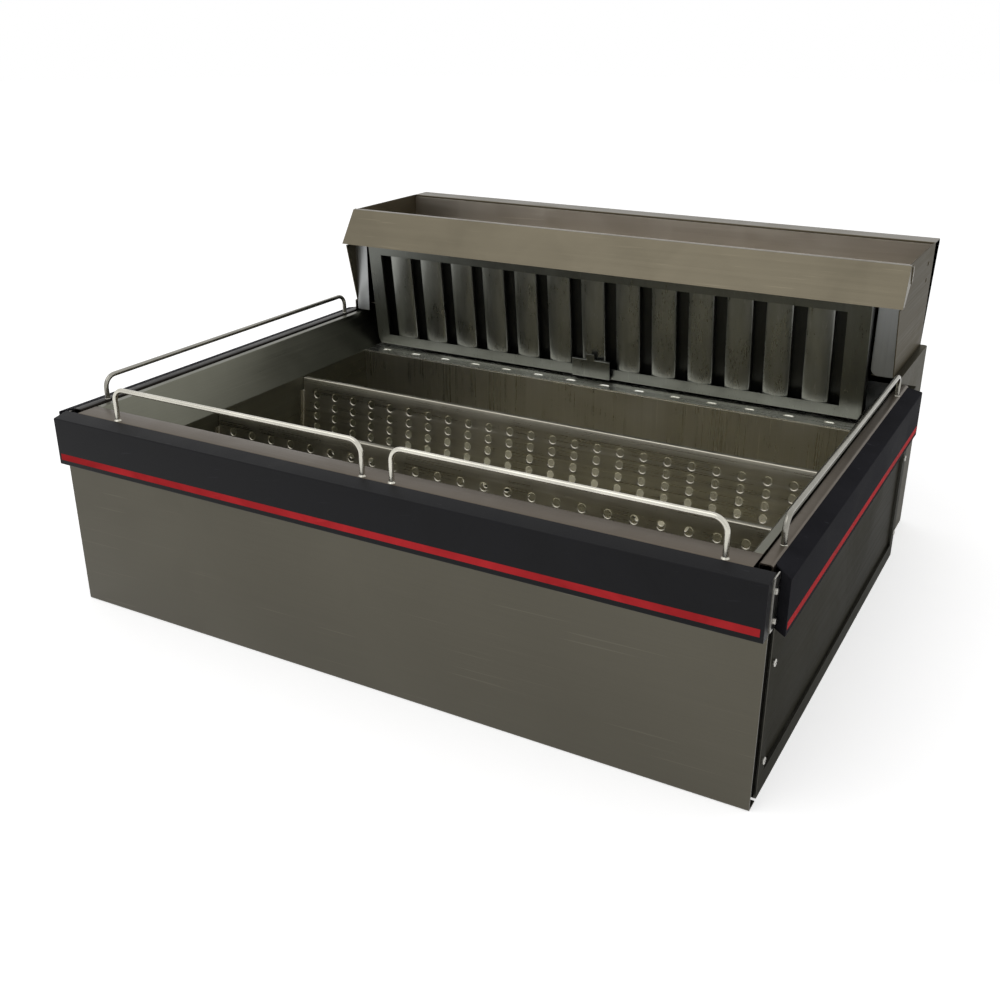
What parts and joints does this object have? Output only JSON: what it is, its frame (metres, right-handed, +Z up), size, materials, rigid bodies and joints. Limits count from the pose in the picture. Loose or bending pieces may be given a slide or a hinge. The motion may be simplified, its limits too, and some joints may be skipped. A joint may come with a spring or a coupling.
{
  "type": "chip warmer",
  "caption": "Countertop chip warmer: open sloped bin with perforated dividers, baffle filter under a hood with an open tray, bumper bands and rod rails.",
  "frame": {"origin": "centre of the overall box on the surface it rests on", "axes": "+X right seen from the front, +Y to the rear, +Z up"},
  "size_m": [0.733, 0.651, 0.334],
  "materials": {
    "stripe_red": "plain red pinstripe",
    "inner_steel": "plain galvanised inner sheet",
    "bin_steel": "satin stainless sheet, darker inside the bin",
    "perforated_steel": "satin stainless sheet with punched holes",
    "blower_grey": "galvanised blower scroll",
    "motor_black": "black painted motor can",
    "shaft_steel": "ground steel shaft",
    "rail_steel": "polished stainless rod",
    "shadow_steel": "dark set-back corner post",
    "fastener": "plated screw heads",
    "hood_steel": "brushed stainless sheet",
    "filter_steel": "satin stainless baffles",
    "band_black": "semi-gloss black bumper moulding",
    "panel_steel": "brushed stainless sheet with a warm grey cast",
    "element_dark": "heat-tinted element sheath",
    "lamp_amber": "amber lens",
    "wheel_alu": "pressed aluminium wheel",
    "gland_black": "black cable gland",
    "rocker_black": "glossy black rocker",
    "control_black": "black control plastic",
    "terminal_white": "off-white terminal block"
  },
  "bodies": {
    "cabinet": {"band_stripes": "stripe_red", "base_pan": "inner_steel", "bin_back_wall": "bin_steel", "bin_front_wall": "bin_steel", "blower_housings": "blower_grey", "blower_motor": "motor_black", "body_back_panel": "inner_steel", "corner_brackets": "rail_steel", "corner_posts": "shadow_steel", "cover_screws": "fastener", "filler_strips": "hood_steel", "filter_shelf": "bin_steel", "front_bumper_band": "band_black", "front_ledge": "panel_steel", "front_left_rail": "rail_steel", "front_panel": "panel_steel", "front_right_rail": "rail_steel", "heater_brackets": "inner_steel", "heater_element": "element_dark", "high_limit_thermostat": "fastener", "hood_back": "hood_steel", "hood_tray": "hood_steel", "hood_visor": "hood_steel", "housing_base": "inner_steel", "housing_sides": "panel_steel", "housing_top": "panel_steel", "indicator_lamp": "lamp_amber", "left_bin_wall": "bin_steel", "left_bumper_band": "band_black", "left_hood_end": "hood_steel", "left_rail": "rail_steel", "left_side_ledge": "panel_steel", "left_side_panel": "panel_steel", "motor_bracket": "blower_grey", "power_inlet": "gland_black", "rail_feet": "rail_steel", "rear_cover": "panel_steel", "right_bin_wall": "bin_steel", "right_bumper_band": "band_black", "right_hood_end": "hood_steel", "right_rail": "rail_steel", "right_side_ledge": "panel_steel", "right_side_panel": "panel_steel", "side_insets": "panel_steel", "side_screws": "fastener", "switch_housing": "control_black", "terminal_block": "terminal_white", "thermostat_body": "control_black"},
    "floor": {"bin_floor": "perforated_steel"},
    "front_divider_piece": {"front_divider": "perforated_steel"},
    "rear_divider_piece": {"rear_divider": "perforated_steel"},
    "filter": {"filter_frame": "filter_steel", "filter_front_baffles": "filter_steel", "filter_rear_baffles": "filter_steel", "filter_handle": "filter_steel"},
    "blower_rotor": {"blower_shaft": "shaft_steel", "left_blower_wheel": "wheel_alu", "right_blower_wheel": "wheel_alu"},
    "rocker": {"rocker_switch": "rocker_black"},
    "knob": {"thermostat_knob": "control_black"}
  },
  "joints": [
    {"name": "floor_lift", "type": "slide", "parent": "cabinet", "child": "floor", "axis": [0, 0, 1], "range_m": [0, 0.1]},
    {"name": "front_divider_lift", "type": "slide", "parent": "floor", "child": "front_divider_piece", "axis": [0, 0, 1], "range_m": [0, 0.2]},
    {"name": "rear_divider_lift", "type": "slide", "parent": "floor", "child": "rear_divider_piece", "axis": [0, 0, 1], "range_m": [0, 0.2]},
    {"name": "filter_swing", "type": "hinge", "parent": "cabinet", "child": "filter", "pos_m": [0, 0.13766, 0.29703], "axis": [-1, 0, 0], "range_deg": [0, 25]},
    {"name": "blower_spin", "type": "hinge", "parent": "cabinet", "child": "blower_rotor", "pos_m": [0, 0.2515, 0.078], "axis": [1, 0, 0], "continuous": true},
    {"name": "switch_rock", "type": "hinge", "parent": "cabinet", "child": "rocker", "pos_m": [-0.285, 0.3005, 0.165], "axis": [1, 0, 0], "range_deg": [0, 16]},
    {"name": "thermostat_turn", "type": "hinge", "parent": "cabinet", "child": "knob", "pos_m": [-0.195, 0.3025, 0.165], "axis": [0, -1, 0], "range_deg": [0, 270]}
  ]
}
